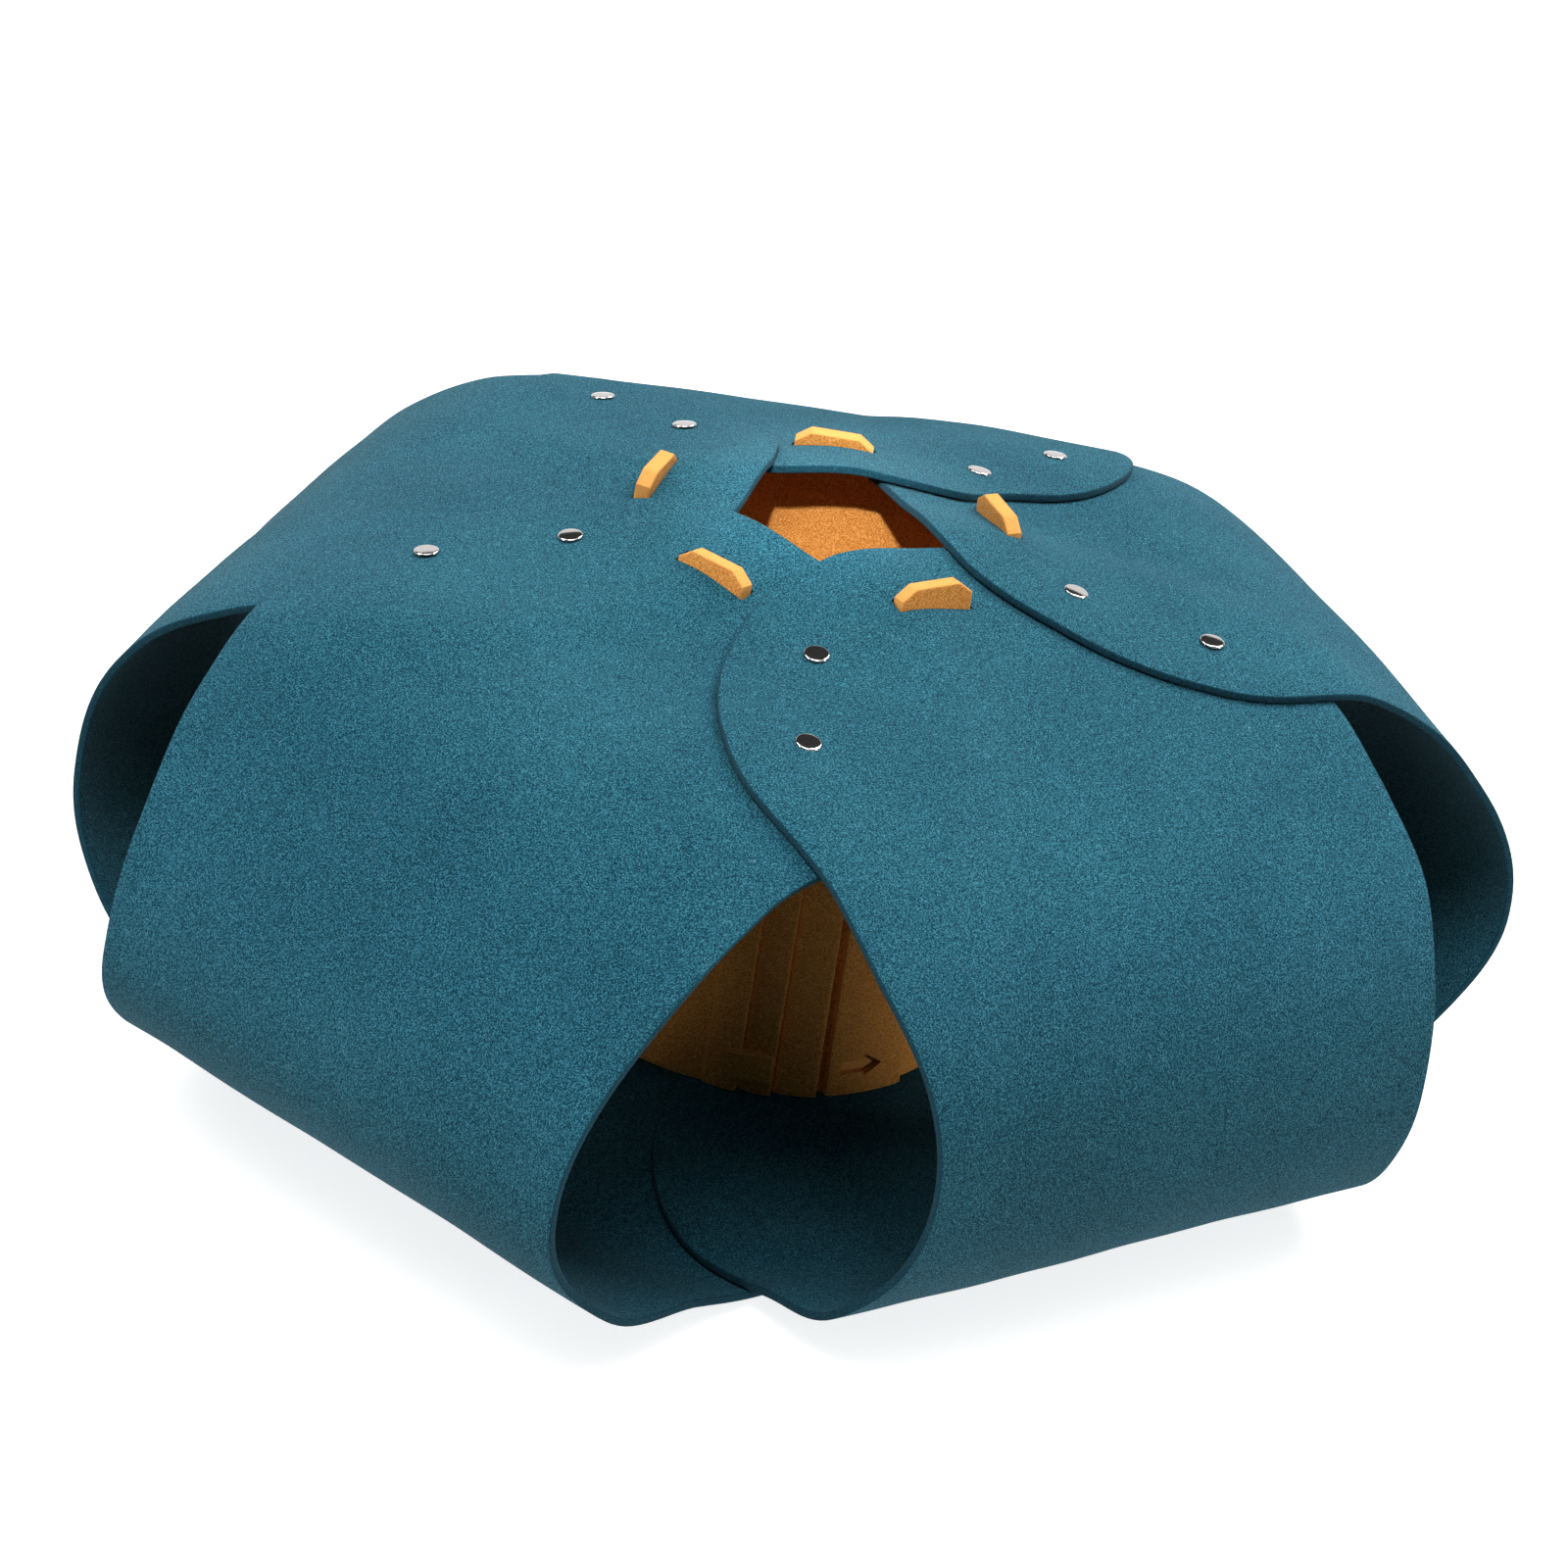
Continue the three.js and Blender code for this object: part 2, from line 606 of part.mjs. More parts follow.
// The origin goes to the middle of the base of the whole part
const middle = new THREE.Box3().setFromObject(group).getCenter(new THREE.Vector3());
for (const mesh of group.children) mesh.geometry.translate(-middle.x, -middle.y, 0);

export default group;
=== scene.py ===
import math

import bpy
import numpy as np
from mathutils import Matrix, Vector


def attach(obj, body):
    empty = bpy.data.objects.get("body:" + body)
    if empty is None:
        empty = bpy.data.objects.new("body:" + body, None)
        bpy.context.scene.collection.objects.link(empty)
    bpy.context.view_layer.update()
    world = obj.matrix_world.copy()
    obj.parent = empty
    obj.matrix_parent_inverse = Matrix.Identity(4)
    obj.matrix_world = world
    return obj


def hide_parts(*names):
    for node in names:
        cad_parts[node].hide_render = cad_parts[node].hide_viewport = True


# Tunnel bed of pressed felt: five bent panels lapped round an orange tube, held by ten snap fasteners.
# Shapes are worked out in millimetres round the ring's axis and moved into the frame when a mesh is made.

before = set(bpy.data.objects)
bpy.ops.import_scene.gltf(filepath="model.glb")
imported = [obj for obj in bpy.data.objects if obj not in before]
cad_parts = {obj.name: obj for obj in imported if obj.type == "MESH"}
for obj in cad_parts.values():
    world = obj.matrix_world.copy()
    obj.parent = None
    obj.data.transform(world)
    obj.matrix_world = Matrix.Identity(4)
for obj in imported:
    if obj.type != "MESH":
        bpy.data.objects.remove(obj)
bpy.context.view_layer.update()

MM = 0.001
RING_AXIS = np.array([-12.45, 24.15, 0.0])

# Felt and laps
FELT = 4.0
LAP_RISE = 5.05
LAP_MARGIN = 7.0
LAP_RAMP = 48.0
CUT_ROUNDING = 0.8
CUT_STEPS = 3
FELT_SHARP_ANGLE = 42

# Slow unevenness of the felt: direction, wavelength, size and start of each wave. It grows from the
# floor up to the first height and fades out below the second, next to the hole.
WAVES = [((0.9, 0.35, 0.5), 190, 0.45, 0.3), ((-0.4, 1.0, 0.2), 150, 0.35, 1.9),
         ((0.7, -0.8, 0.9), 105, 0.25, 4.1), ((1.0, 0.9, -0.7), 78, 0.16, 2.2)]
WAVES_GROWN = 30.0
WAVES_END = 294.0
WAVES_FADE = 40.0

# Bent section of a panel
HOLE_REACH = 47.0
RIM_HEIGHT = 291.4
RIM_SLOPE = math.radians(21.4)
RIM_PULL = 176.2
SHOULDER_PULL = 112.0
BULGE_REACH = 343.5
BULGE_HEIGHT = 106.3
FOOT_PULL = 59.0
FLOOR_PULL = 28.0
FLOOR_REACH = 238.0
UPPER_STEPS = 600
LOWER_STEPS = 400
FLOOR_STEPS = 200

# Where neighbouring panels meet they share one rounded ridge, up to this reach
RIDGE_ROUNDING = 40.0
SHARED_REACH = 252.0
SHARED_BLEND = 55.0
LAP_REACH = 238.0

# Fuller shoulders rise out of the section between these reaches
SHOULDER_FROM = 110.0
SHOULDER_RISE = 140.0
SHOULDER_TO = 340.0
SHOULDER_FALL = 80.0

# Flat outline of a panel
HOLE_END_HALF = 37.0
OUTLINE_SHIFT = 9.8
OUTLINE = [(0.012, 74), (0.03, 96), (0.055, 116), (0.09, 138), (0.14, 158),
           (0.2, 168), (0.28, 160), (0.36, 154), (0.43, 143), (0.5, 138)]
WAIST_SPREAD = 0.15
LOBE_AT = 0.055
LOBE_SPREAD = 0.035
OUTLINE_STEPS = 100
TRAIL_STEPS = 121
AREA_STEPS = 400

# Panels in lap order, each one over the next. Turn in degrees, the rest in mm: the whole panel moved
# outward and aside, extra reach of the bulge, shift of the leading and trailing edge at the waist, how
# far the leading lobe is cut back next to the hole, rise of the hole end, fullness of the shoulder, and
# where its tab stands.
FIRST_AZIMUTH = -54.0
PANELS = [
    {"name": "front_right", "turn": -2, "slide": 1.2, "aside": 0.4, "reach": -14, "lead": 4, "trail": 10,
     "lobe": 0, "rim": 3.7, "full": 7, "tab_tip": 13.4, "tab_aside": 0.5},
    {"name": "front_left", "turn": -1.2, "slide": 0, "aside": 2.6, "reach": 22, "lead": 14, "trail": 20,
     "lobe": 0, "rim": 0, "full": 29, "tab_tip": 11.6, "tab_aside": 0.5},
    {"name": "left", "turn": 1.8, "slide": -5.7, "aside": -2.7, "reach": -15, "lead": 14, "trail": 12,
     "lobe": 0, "rim": -0.7, "full": 8, "tab_tip": 12.2, "tab_aside": 2},
    {"name": "back", "turn": -2.7, "slide": -1.8, "aside": 4.3, "reach": -2, "lead": -8, "trail": -15,
     "lobe": 16, "rim": 0.7, "full": 3, "tab_tip": 11.6, "tab_aside": 0},
    {"name": "right", "turn": 4.1, "slide": -5.5, "aside": 2.5, "reach": 13, "lead": -17, "trail": -18,
     "lobe": 3, "rim": -2, "full": 28, "tab_tip": 12.5, "tab_aside": -3.5},
]
PANEL_ROWS = 200
PANEL_COLUMNS = 64
ROW_EASE = 0.72
NORMAL_STEP = 1.5

# Tube in the middle, with its tabs
WALL = 7.8
WALL_FOOT = 9.4
WALL_TOP = 259.0
WALL_FOOT_RADIUS = 111.0
WALL_TOP_RADIUS = 96.7
WALL_FLAT_ANGLE = math.radians(17)
WALL_TURNS = (-85, 275)
WALL_COLUMNS = 180
WALL_ROWS = 60
TAB_REACH = 92.0
TAB_HALF = 20.3
TAB_CORNER_RUN = 7.2
TAB_CORNER_DROP = 5.4
TAB_THICKNESS = 7.8
TAB_LEAN = math.radians(-3.5)
TAB_ROOT_DEPTH = 24.0
TAB_ROWS = 24
TAB_CORNER_ROWS = 9
TAB_COLUMNS = 25
SLOT_CLEARANCE = 0.55

# Upright pleats of its overlapped end: from and to in degrees, and how proud either edge stands
PLEATS = [(-101.7, -92.5, 1.6, 4.4), (-91.7, -83.7, 1.6, 5.0), (-82.9, -72.1, 1.6, 5.2),
          (-69.8, -47.4, 4.2, 4.2)]
PLEAT_TOP = 248.0
PLEAT_BITE = 1.5
TONGUE = {"from": -97, "to": -84.5, "foot": 18.5, "height": 15.5, "proud": 7.6}
TONGUE_COLUMNS = 18
TONGUE_ROWS = 8
NOTCH = {"azimuth": -60.5, "foot": 19.0, "length": 23.0, "height": 13.0, "shaft": 7.0, "head": 10.0,
         "clear": 0.6, "depth": 15.0}

# Snap fasteners on each lap
SNAPS = {"inner": (65.3, -75.6), "outer": (126.7, -115.7)}
CAP_RADIUS = 6.25
CAP_FOOT_INSET = 0.6
CAP_FOOT_STEP = 0.15
CAP_ROLL = 0.8
CAP_ROLL_TURN = 80
CAP_ROLL_STEPS = 6
CAP_DOME = 0.25
CAP_DOME_STEPS = 8
CAP_SEGMENTS = 48
POST_RADIUS = 2.0
POST_HOLE_RADIUS = 2.5
POST_HOLE_REACH = 12.0
POST_HOLE_SEGMENTS = 24
POST_HOLE_SIDE = (0.3, 0.9, 0.1)
BACK_RADIUS = 5.6
BACK_HEIGHT = 1.1
BACK_FOOT_RUN = 0.4
BACK_FOOT_RISE = 0.3
BACK_LIP_RUN = 0.3
BACK_LIP_DROP = 0.2
SNAP_AIR = 0.5
BACK_AIR = 0.7
SNAP_SHARP_ANGLE = 50

# Camera at the photograph's viewing angle, turned a little about the ring's axis
VIEW_TURN = math.radians(-2.29)
VIEW_ELEVATION = math.radians(28.74)
VIEW_ROLL = math.radians(9.27)
VIEW_DISTANCE = 2184.0
VIEW_SIDE = -1.1
VIEW_HEIGHT = 124.2
FOCAL_PIXELS = 4362.0
PHOTO_PIXELS = 1600.0
SENSOR = 36.0


def make_camera():
    forward = Vector((0, math.cos(VIEW_ELEVATION), -math.sin(VIEW_ELEVATION)))
    upward = Vector((0, math.sin(VIEW_ELEVATION), math.cos(VIEW_ELEVATION)))
    right = Vector((1, 0, 0))
    place = Vector((VIEW_SIDE, 0, VIEW_HEIGHT)) - forward * VIEW_DISTANCE
    rolled_right = right * math.cos(VIEW_ROLL) + upward * math.sin(VIEW_ROLL)
    rolled_up = upward * math.cos(VIEW_ROLL) - right * math.sin(VIEW_ROLL)
    turn = Matrix.Rotation(VIEW_TURN, 3, "Z")
    axes = Matrix([turn @ rolled_right, turn @ rolled_up, turn @ -forward]).transposed()
    data = bpy.data.cameras.new("camera")
    data.sensor_width = SENSOR
    data.lens = SENSOR * FOCAL_PIXELS / PHOTO_PIXELS
    data.clip_start = 0.05
    data.clip_end = 60.0
    camera = bpy.data.objects.new("camera", data)
    bpy.context.collection.objects.link(camera)
    location = (turn @ place + Vector(RING_AXIS)) * MM
    camera.matrix_world = Matrix.Translation(location) @ axes.to_4x4()
    bpy.context.scene.camera = camera


make_camera()


def smooth(x):
    x = np.clip(x, 0, 1)
    return x * x * (3 - 2 * x)


def bezier(points, count):
    t = np.linspace(0, 1, count)[:, None]
    a, b, c, d = (np.array(point, float) for point in points)
    return a * (1 - t) ** 3 + 3 * b * t * (1 - t) ** 2 + 3 * c * t * t * (1 - t) + d * t ** 3


def run_lengths(points):
    steps = np.linalg.norm(np.diff(points, axis=0), axis=1)
    return np.concatenate([[0.0], np.cumsum(steps)])


def section_points():
    slope = np.array([math.cos(RIM_SLOPE), -math.sin(RIM_SLOPE)])
    rim = np.array([HOLE_REACH, RIM_HEIGHT])
    bulge = (BULGE_REACH, BULGE_HEIGHT)
    upper = bezier([rim, rim + RIM_PULL * slope, (BULGE_REACH, BULGE_HEIGHT + SHOULDER_PULL), bulge],
                   UPPER_STEPS)
    lower = bezier([bulge, (BULGE_REACH, BULGE_HEIGHT - FOOT_PULL), (FLOOR_REACH + FLOOR_PULL, 0),
                    (FLOOR_REACH, 0)], LOWER_STEPS)
    floor = np.stack([np.linspace(FLOOR_REACH, HOLE_REACH, FLOOR_STEPS), np.zeros(FLOOR_STEPS)], axis=1)
    return upper, np.concatenate([lower, floor[1:]])


upper_section, lower_section = section_points()
upper_runs = run_lengths(upper_section)
UPPER_LENGTH = upper_runs[-1]
lower_runs = UPPER_LENGTH + run_lengths(lower_section)
PANEL_LENGTH = lower_runs[-1]
section_runs = np.concatenate([upper_runs, lower_runs[1:]])
section_table = np.concatenate([upper_section, lower_section[1:]])


def section_at(along):
    return [np.interp(along, section_runs, column) for column in section_table.T]


def height_at_reach(reach, upper):
    over = np.interp(reach, upper_section[:, 0], upper_section[:, 1])
    under = np.interp(reach, lower_section[::-1, 0], lower_section[::-1, 1])
    return np.where(upper, over, under)


def along_at_reach(reach, upper):
    over = np.interp(reach, upper_section[:, 0], upper_runs)
    under = np.interp(reach, lower_section[::-1, 0], lower_runs[::-1])
    return np.where(upper, over, under)


# A smooth curve through the outline's table, mirrored about the waist
def outline_curve():
    half = [(0.0, HOLE_END_HALF)] + [(share * PANEL_LENGTH, width) for share, width in OUTLINE]
    points = np.array(half + [(PANEL_LENGTH - run, width) for run, width in half[-2::-1]])
    ahead = np.concatenate([points[1:], points[-1:]])
    behind = np.concatenate([points[:1], points[:-1]])
    slopes = (ahead - behind) / 2
    t = np.linspace(0, 1, OUTLINE_STEPS, endpoint=False)[:, None]
    curves = []
    for start, end, leave, arrive in zip(points[:-1], points[1:], slopes[:-1], slopes[1:]):
        curves.append((2 * t ** 3 - 3 * t * t + 1) * start + (3 * t * t - 2 * t ** 3) * end
                      + (t ** 3 - 2 * t * t + t) * leave + (t ** 3 - t * t) * arrive)
    return np.concatenate(curves + [points[-1:]])


outline = outline_curve()


def edge_across(panel, along, side):
    waist = np.exp(-(((along / PANEL_LENGTH - 0.5) / WAIST_SPREAD) ** 2))
    lobe = np.exp(-(((along / PANEL_LENGTH - LOBE_AT) / LOBE_SPREAD) ** 2))
    offset = panel["lead"] * waist + panel["lobe"] * lobe if side < 0 else panel["trail"] * waist
    return side * np.interp(along, outline[:, 0], outline[:, 1]) + OUTLINE_SHIFT + offset


for index, panel in enumerate(PANELS):
    azimuth = math.radians(FIRST_AZIMUTH - 360 / len(PANELS) * index + panel["turn"])
    panel["out"] = np.array([math.cos(azimuth), math.sin(azimuth), 0.0])
    panel["side"] = np.array([-math.sin(azimuth), math.cos(azimuth), 0.0])
    panel["under"] = PANELS[(index + 1) % len(PANELS)]


# The shared ridged surface: a soft maximum of the reach along all panels, and the rise of the hole
# ends and the fullness of the shoulders weighed by how near each panel is
def shared_surface(spots):
    reaches = np.stack([spots @ panel["out"] for panel in PANELS])
    most = reaches.max(axis=0)
    weights = np.exp((reaches - most) / RIDGE_ROUNDING)
    total = weights.sum(axis=0)
    rim, full = (sum(panel[key] * weight for panel, weight in zip(PANELS, weights)) / total
                 for key in ("rim", "full"))
    return most + RIDGE_ROUNDING * np.log(total), rim, full


# Outer face of a panel's lower layer at a run along it and a distance off its middle
def base_surface(panel, along, across):
    upper = along < UPPER_LENGTH
    reach, height = section_at(along)
    spots = (reach + panel["slide"])[..., None] * panel["out"]
    spots = spots + (across + panel["aside"])[..., None] * panel["side"]
    shared, rim, full = shared_surface(spots)
    lapped = 1 - smooth((reach - SHARED_REACH) / SHARED_BLEND)
    raised = (height_at_reach(shared, upper) - height_at_reach(reach, upper)) * lapped
    shoulder = smooth((shared - SHOULDER_FROM) / SHOULDER_RISE)
    shoulder = shoulder * smooth((SHOULDER_TO - shared) / SHOULDER_FALL)
    free = np.maximum(0, (reach - LAP_REACH) / (BULGE_REACH - LAP_REACH)) ** 2
    spots = spots + (panel["reach"] * free)[..., None] * panel["out"]
    spots[..., 2] = height + raised
    spots[..., 2] += rim * np.clip(spots[..., 2] / RIM_HEIGHT, 0, 1) + full * shoulder * upper
    return spots


def unit(vectors):
    return vectors / np.linalg.norm(vectors, axis=-1, keepdims=True)


def surface_normal(panel, along, across):
    low = np.maximum(0, along - NORMAL_STEP)
    high = np.minimum(PANEL_LENGTH, along + NORMAL_STEP)
    run = base_surface(panel, high, across) - base_surface(panel, low, across)
    ahead = base_surface(panel, along, across + NORMAL_STEP)
    return unit(np.cross(run, ahead - base_surface(panel, along, across - NORMAL_STEP)))


# How far a spot lies inside a panel's trailing edge and hole end; less than nothing outside them
def inside_trailing(panel, along, across, upper):
    half = np.linspace(0, 1, TRAIL_STEPS) ** 2 / 2
    runs = (half if upper else 1 - half) * PANEL_LENGTH
    line = np.stack([runs, edge_across(panel, runs, 1)], axis=1)
    line = np.concatenate([[[runs[0], 0.0]], line])
    spots = np.stack([along, across], axis=-1)[..., None, :]
    starts, steps = line[:-1], np.diff(line, axis=0)
    share = np.clip(((spots - starts) * steps).sum(-1) / (steps * steps).sum(-1), 0, 1)
    nearest = np.linalg.norm(starts + share[..., None] * steps - spots, axis=-1).min(-1)
    beyond = (along < 0) if upper else (along > PANEL_LENGTH)
    return np.where(beyond | (across > edge_across(panel, along, 1)), -nearest, nearest)


# How far the leading lobe stands off the base surface to pass over its neighbour
def lap_offset(panel, along, across):
    upper = along < UPPER_LENGTH
    spots = base_surface(panel, along, across)
    reach = spots @ panel["under"]["out"] - panel["under"]["slide"]
    beside = spots @ panel["under"]["side"] - panel["under"]["aside"]
    past = np.maximum(0, HOLE_REACH - reach)
    run = along_at_reach(np.maximum(reach, HOLE_REACH), upper) - np.where(upper, past, -past)
    inside = np.where(upper, inside_trailing(panel["under"], run, beside, True),
                      inside_trailing(panel["under"], run, beside, False))
    rise = LAP_RISE * smooth((inside + LAP_MARGIN + LAP_RAMP) / LAP_RAMP) * np.where(upper, 1, -1)
    return np.where((reach > LAP_REACH + LAP_RAMP) | (beside < 0), 0, rise)


# Felt sheet with rounded cut edges from a grid of face points and their normals
def felt_shell(face, normal, thickness):
    rows, columns = face.shape[:2]
    inner = face - normal * thickness
    number = np.arange(rows * columns).reshape(rows, columns)
    loop = np.concatenate([number[0, :-1], number[:-1, -1], number[-1, :0:-1], number[:0:-1, 0]])
    flat_face, flat_normal = face.reshape(-1, 3), normal.reshape(-1, 3)
    rim_normal = flat_normal[loop]
    tangent = np.roll(flat_face[loop], -1, axis=0) - np.roll(flat_face[loop], 1, axis=0)
    outward = unit(np.cross(rim_normal, tangent))
    vertices = [flat_face, inner.reshape(-1, 3)]
    cut = [np.zeros(2 * rows * columns)]
    loops = [loop]
    start = 2 * rows * columns
    turns = [(math.pi / 2 * step / CUT_STEPS, 1) for step in range(1, CUT_STEPS + 1)]
    turns += [(turn, -1) for turn, _ in turns[::-1]]
    for turn, layer in turns:
        foot = flat_face[loop] if layer > 0 else inner.reshape(-1, 3)[loop]
        drop = rim_normal * (CUT_ROUNDING * (1 - math.cos(turn)) * layer)
        vertices.append(foot + outward * CUT_ROUNDING * math.sin(turn) - drop)
        loops.append(start + np.arange(len(loop)))
        cut.append(np.ones(len(loop)))
        start += len(loop)
    loops.append(rows * columns + loop)
    a, b, c, d = number[:-1, :-1], number[1:, :-1], number[1:, 1:], number[:-1, 1:]
    quads = np.stack([a, b, c, d], axis=-1).reshape(-1, 4)
    faces = [quads, quads[:, ::-1] + rows * columns]
    for near, far in zip(loops[:-1], loops[1:]):
        faces.append(np.stack([near, np.roll(near, -1), np.roll(far, -1), far], axis=1))
    return np.concatenate(vertices), np.concatenate(faces), np.concatenate(cut)


def make_mesh(name, shells):
    vertices, faces, cuts, start = [], [], [], 0
    for shell_vertices, shell_faces, shell_cut in shells:
        vertices.append(shell_vertices)
        faces.append(shell_faces + start)
        cuts.append(shell_cut)
        start += len(shell_vertices)
    points = (np.concatenate(vertices) + RING_AXIS) * MM
    mesh = bpy.data.meshes.new(name)
    mesh.from_pydata(points.tolist(), [], np.concatenate(faces).tolist())
    # The cut_edge mask marks the rounded cut rims, which the felt finish gives painted light and shade
    mesh.attributes.new("cut_edge", "FLOAT", "POINT").data.foreach_set("value", np.concatenate(cuts))
    mesh.update()
    made = bpy.data.objects.new(name, mesh)
    bpy.context.collection.objects.link(made)
    return made


def shade(made, angle):
    made.data.shade_smooth()
    made.data.set_sharp_from_angle(angle=math.radians(angle))


def finished_mesh(made):
    evaluated = made.evaluated_get(bpy.context.evaluated_depsgraph_get())
    mesh = bpy.data.meshes.new_from_object(evaluated)
    made.modifiers.clear()
    return mesh


# The waves run on from panel to panel, so both layers of a lap rise and fall together
def unevenness(points):
    total = np.zeros(points.shape[:-1])
    for direction, length, size, start in WAVES:
        total += size * np.sin(points @ np.array(direction) * (2 * math.pi / length) + start)
    height = points[..., 2]
    return total * smooth(height / WAVES_GROWN) * smooth((WAVES_END - height) / WAVES_FADE)


def row_stations():
    share = np.linspace(0, 1, PANEL_ROWS // 2 + 1)
    first = PANEL_LENGTH / 2 * share * (1 - ROW_EASE + ROW_EASE * share)
    runs = np.concatenate([first, PANEL_LENGTH - first[-2::-1]])
    return np.clip(runs, CUT_ROUNDING, PANEL_LENGTH - CUT_ROUNDING)


def panel_shell(panel):
    runs = row_stations()
    lead = edge_across(panel, runs, -1) + CUT_ROUNDING
    trail = edge_across(panel, runs, 1) - CUT_ROUNDING
    share = np.linspace(0, 1, PANEL_COLUMNS + 1)
    across = lead[:, None] + (trail - lead)[:, None] * share
    along = np.repeat(runs[:, None], PANEL_COLUMNS + 1, axis=1)
    normal = surface_normal(panel, along, across)
    face = base_surface(panel, along, across) + normal * lap_offset(panel, along, across)[..., None]
    face += normal * unevenness(face)[..., None]
    return felt_shell(face, normal, FELT)


def spot_frame(panel, along, across):
    spot = base_surface(panel, np.array(along), np.array(across))
    normal = surface_normal(panel, np.array(along), np.array(across))
    return spot, normal


snap_spots = {}
for panel in PANELS:
    for name, (along, across) in SNAPS.items():
        snap_spots[panel["name"], name] = spot_frame(panel, along, across)


# Face grid of a tab with sloped corners, from its root to its tip; grown and square it cuts the slot
def tab_shell(panel, grow):
    inset = 0 if grow else CUT_ROUNDING
    corner_run = 0 if grow else TAB_CORNER_RUN
    corner_drop = 0 if grow else TAB_CORNER_DROP
    half = TAB_HALF + grow - inset
    tip = panel["tab_tip"] + grow - inset
    rise = np.linspace(-TAB_ROOT_DEPTH - grow, tip - corner_drop, TAB_ROWS)
    if corner_drop:
        rise = np.concatenate([rise, np.linspace(tip - corner_drop, tip, TAB_CORNER_ROWS)[1:]])
    slope = np.clip((rise - tip + corner_drop) / TAB_CORNER_DROP, 0, 1)
    width = half - corner_run * slope
    share = np.linspace(-1, 1, TAB_COLUMNS)
    up = np.array([0.0, 0.0, 1.0])
    leaned = up * math.cos(TAB_LEAN) + panel["out"] * math.sin(TAB_LEAN)
    facing = panel["out"] * math.cos(TAB_LEAN) - up * math.sin(TAB_LEAN)
    along = along_at_reach(np.array(TAB_REACH - panel["slide"]), True)
    foot = base_surface(panel, along, np.array(float(panel["tab_aside"])))
    foot = foot + facing * (TAB_THICKNESS / 2 + grow)
    face = (foot + (rise[:, None, None] * leaned)
            + (width[:, None] * share)[..., None] * panel["side"])
    normal = np.broadcast_to(facing, face.shape)
    return felt_shell(face[::-1], normal, TAB_THICKNESS + 2 * grow)


def cut_away(made, shell):
    cutter = make_mesh("cutter", [shell])
    modifier = made.modifiers.new("cut", "BOOLEAN")
    modifier.operation = "DIFFERENCE"
    modifier.solver = "MANIFOLD"
    modifier.object = cutter
    made.data = finished_mesh(made)
    bpy.data.objects.remove(cutter)


# Round cutter along the felt's normal
def post_cutter(spot, normal):
    side = unit(np.cross(normal, POST_HOLE_SIDE))
    other = np.cross(normal, side)
    count = POST_HOLE_SEGMENTS
    turns = np.linspace(0, 2 * math.pi, count, endpoint=False)
    ring = POST_HOLE_RADIUS * (np.cos(turns)[:, None] * side + np.sin(turns)[:, None] * other)
    low = spot - normal * POST_HOLE_REACH
    high = spot + normal * POST_HOLE_REACH
    vertices = np.concatenate([low + ring, high + ring, [low], [high]])
    faces = []
    for i in range(count):
        j = (i + 1) % count
        faces += [(i, j, count + j), (i, count + j, count + i)]
        faces += [(j, i, 2 * count), (count + i, count + j, 2 * count + 1)]
    return vertices, np.array(faces), np.ones(len(vertices))


class Wire:
    """A shader socket that takes part in plain arithmetic."""

    def __init__(self, nodes, socket):
        self.nodes = nodes
        self.socket = socket

    def maths(self, operation, *terms):
        return self.nodes.node("ShaderNodeMath", {"operation": operation}, dict(enumerate(terms)))

    def out(self, name):
        return Wire(self.nodes, self.socket.node.outputs[name])

    def __abs__(self):
        return self.maths("ABSOLUTE", self)

    def __add__(self, other):
        return self.maths("ADD", self, other)

    def __sub__(self, other):
        return self.maths("SUBTRACT", self, other)

    def __rsub__(self, other):
        return self.maths("SUBTRACT", other, self)

    def __mul__(self, other):
        return self.maths("MULTIPLY", self, other)

    __radd__ = __add__
    __rmul__ = __mul__


class Nodes:
    """The nodes of one shader tree."""

    def __init__(self, tree):
        self.tree = tree

    def feed(self, socket, value):
        if isinstance(value, Wire):
            self.tree.links.new(value.socket, socket)
        else:
            socket.default_value = value

    def node(self, kind, settings=(), sockets=()):
        made = self.tree.nodes.new(kind)
        for name, value in dict(settings).items():
            setattr(made, name, value)
        for name, value in dict(sockets).items():
            self.feed(made.inputs[name], value)
        return Wire(self, made.outputs[0])

    def between(self, value, low, high):
        return self.node("ShaderNodeMapRange", {"interpolation_type": "SMOOTHSTEP"}, {
            "Value": value, "From Min": low, "From Max": high})


class Finish(Nodes):
    """A material and the nodes that make its look."""

    def __init__(self, name, constants):
        self.material = bpy.data.materials.new(name)
        self.material.use_nodes = True
        super().__init__(self.material.node_tree)
        self.shader = self.tree.nodes["Principled BSDF"]
        for socket, value in constants.items():
            self.shader.inputs[socket].default_value = value
        self.place = self.node("ShaderNodeTexCoord").out("Object")

    def noise(self, scale, detail=2.0, roughness=0.5, distortion=0.0):
        return self.node("ShaderNodeTexNoise", {}, {
            "Vector": self.place, "Scale": scale, "Detail": detail,
            "Roughness": roughness, "Distortion": distortion}).out("Fac")

    def mix(self, factor, first, second):
        wire = self.node("ShaderNodeMix", {"data_type": "RGBA"}, {0: factor, 6: first, 7: second})
        return Wire(self, wire.socket.node.outputs[2])

    def finish(self, colour, roughness, height, depth):
        bump = self.node("ShaderNodeBump", {}, {"Strength": 1.0, "Distance": depth, "Height": height})
        self.feed(self.shader.inputs["Base Color"], colour)
        self.feed(self.shader.inputs["Roughness"], roughness)
        self.feed(self.shader.inputs["Normal"], bump)
        return self.material


def linear(red, green, blue):
    tones = [channel / 255 for channel in (red, green, blue)]
    return [tone / 12.92 if tone <= 0.04045 else ((tone + 0.055) / 1.055) ** 2.4 for tone in tones] + [1.0]
